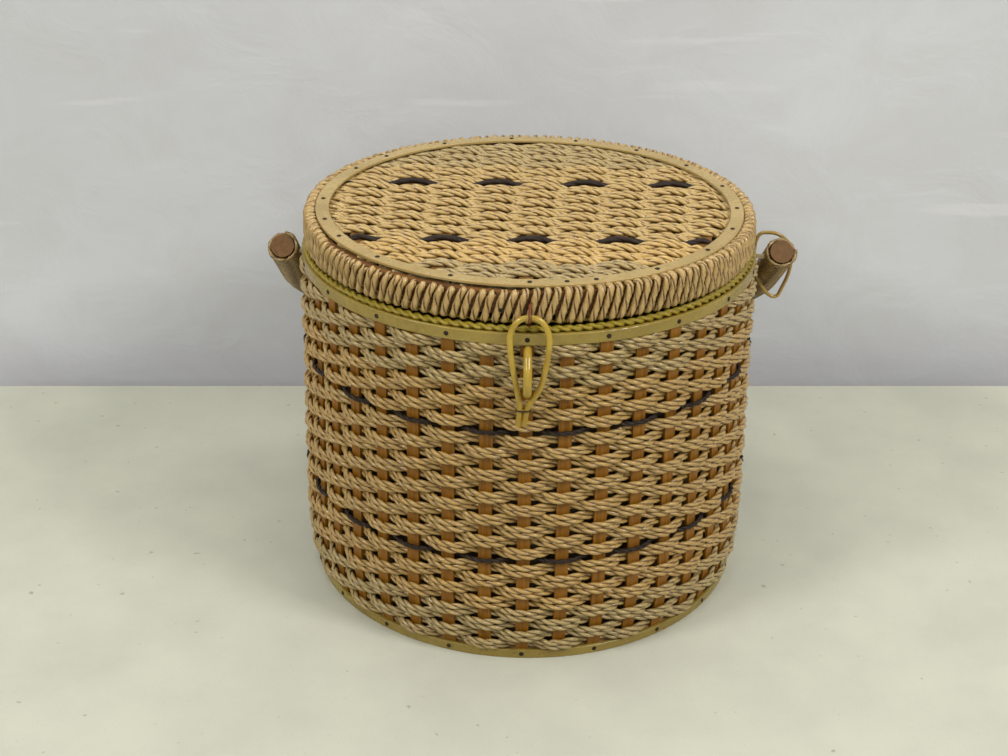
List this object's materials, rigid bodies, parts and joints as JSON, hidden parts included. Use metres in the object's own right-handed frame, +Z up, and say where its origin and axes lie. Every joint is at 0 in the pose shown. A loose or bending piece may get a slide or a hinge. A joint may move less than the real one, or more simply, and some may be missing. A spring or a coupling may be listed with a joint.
{
  "type": "sewing basket",
  "caption": "Round woven sewing basket with a hinged lid, a tube loop and arch closure, and a cord-wrapped bow handle that folds down.",
  "frame": {"origin": "centre of the base, on the floor", "axes": "+Z up, the closure faces -Y, +X is the viewer's right"},
  "size_m": [0.2801, 0.2687, 0.2026],
  "materials": {
    "board": "plain plywood",
    "lining": "satin cloth",
    "stake_wood": "orange-brown split bamboo",
    "paper_cord": "twisted paper cord",
    "dark_cord": "dark twisted paper cord",
    "cream_plastic": "smooth cream plastic strip",
    "nail_steel": "darkened steel",
    "braid": "braided yellow trim",
    "tube_plastic": "soft plastic tube",
    "hinge_brass": "dull brass",
    "copper_thread": "copper-red thread",
    "cane": "cut cane"
  },
  "bodies": {
    "basket": {"base_board": "board", "base_lining": "lining", "body_stakes": "stake_wood", "body_weave_lower": "paper_cord", "body_weave_middle": "paper_cord", "body_weave_upper": "paper_cord", "accent_cord_lower": "dark_cord", "accent_cord_upper": "dark_cord", "body_top_hoop": "stake_wood", "body_top_band": "cream_plastic", "body_bottom_band": "cream_plastic", "body_top_nails": "nail_steel", "body_bottom_nails": "nail_steel", "side_lining": "lining", "body_braid": "braid", "closure_catch": "tube_plastic", "hinge_body_leaf": "hinge_brass", "hinge_pin": "hinge_brass", "hinge_body_tacks": "nail_steel", "handle_pin_left": "board", "handle_pin_right": "board"},
    "lid": {"lid_hoop": "stake_wood", "lid_rim_wrap": "paper_cord", "lid_board": "board", "lid_stakes": "stake_wood", "lid_weave": "paper_cord", "lid_accent_cords": "dark_cord", "lid_band": "cream_plastic", "lid_band_nails": "nail_steel", "lid_braid": "braid", "lid_lining": "lining", "rim_nail": "nail_steel", "closure_thread": "copper_thread", "hinge_lid_leaf": "hinge_brass", "hinge_lid_tacks": "nail_steel"},
    "closure": {"closure_loop": "tube_plastic", "closure_tie": "nail_steel"},
    "handle": {"handle_core": "cane", "handle_wrap": "paper_cord"},
    "ring": {"handle_ring": "tube_plastic"}
  },
  "joints": [
    {"name": "lid_hinge", "type": "hinge", "parent": "basket", "child": "lid", "pos_m": [0, 0.1195, 0.1834], "axis": [-1, 0, 0], "range_deg": [0, 105]},
    {"name": "closure_loop_swing", "type": "hinge", "parent": "lid", "child": "closure", "pos_m": [-0.0007, -0.1195, 0.1899], "axis": [-1, 0, 0], "range_deg": [0, 110]},
    {"name": "handle_swing", "type": "hinge", "parent": "basket", "child": "handle", "pos_m": [0.0019, 0.008, 0.17], "axis": [1, 0, 0], "range_deg": [0, 239]},
    {"name": "ring_swing", "type": "hinge", "parent": "handle", "child": "ring", "pos_m": [0.1288, 0.022, 0.178], "axis": [1, 0, 0], "range_deg": [-40, 0]}
  ]
}
